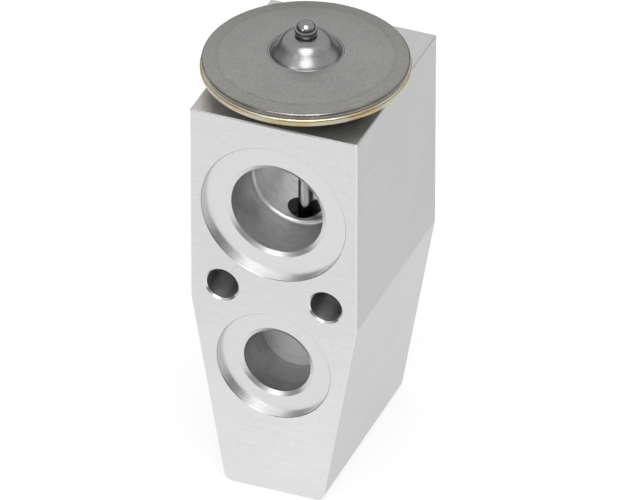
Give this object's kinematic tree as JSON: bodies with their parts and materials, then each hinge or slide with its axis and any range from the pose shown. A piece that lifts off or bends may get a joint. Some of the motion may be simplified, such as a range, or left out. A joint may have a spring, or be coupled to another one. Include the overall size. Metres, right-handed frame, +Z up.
{
  "type": "thermostatic expansion valve",
  "caption": "Block type expansion valve: a tapered aluminium block with ports through it, a sprung ball valve inside and a welded sensing disc on top.",
  "frame": {"origin": "middle of the block's foot, on the plane that it stands on", "axes": "+Z up along the rod to the head, -Y out of the front face, +X to the right seen from the front"},
  "size_m": [0.0404, 0.0446, 0.0977],
  "materials": {
    "block_aluminium": "satin: sawn faces, drawn sides, turned bores",
    "cover_steel": "pressed stainless sheet, dull",
    "rim_steel": "stainless sheet, tinted straw by the weld",
    "polished_steel": "mirror",
    "machined_steel": "turned",
    "sheet_steel": "sprung sheet",
    "brass": "turned",
    "black_rubber": "matt"
  },
  "bodies": {
    "block": {"valve_block": "block_aluminium", "upper_cover": "cover_steel", "lower_cover": "rim_steel", "plug_ball": "polished_steel", "threaded_hub": "machined_steel", "head_seal": "black_rubber", "diaphragm": "sheet_steel", "guide_bush": "brass", "rod_seal": "black_rubber", "seal_washer": "sheet_steel", "seal_retainer": "sheet_steel", "seat_ring": "machined_steel", "superheat_spring": "sheet_steel"},
    "stem": {"diaphragm_pad": "machined_steel", "push_rod": "machined_steel", "valve_ball": "polished_steel", "ball_carrier": "machined_steel", "damper_star": "sheet_steel"},
    "screw_ring": {"adjuster_ring": "black_rubber"},
    "screw": {"adjusting_screw": "brass"}
  },
  "joints": [
    {"name": "stem_lift", "type": "slide", "parent": "block", "child": "stem", "axis": [0, 0, 1], "range_m": [0, 0.0008], "stiffness_N_per_m": 6490, "deforming": ["superheat_spring", "diaphragm"]},
    {"name": "screw_travel", "type": "slide", "parent": "block", "child": "screw_ring", "axis": [0, 0, 1], "range_m": [-0.001, 0.001], "deforming": ["superheat_spring"]},
    {"name": "screw_turn", "type": "hinge", "parent": "screw_ring", "child": "screw", "pos_m": [0, -0.0039, 0.0148], "axis": [0, 0, 1], "range_deg": [-360, 360]}
  ],
  "couplings": [
    {"joint": "screw_turn", "follows": "screw_travel", "rad_per_m": 6283.2}
  ]
}
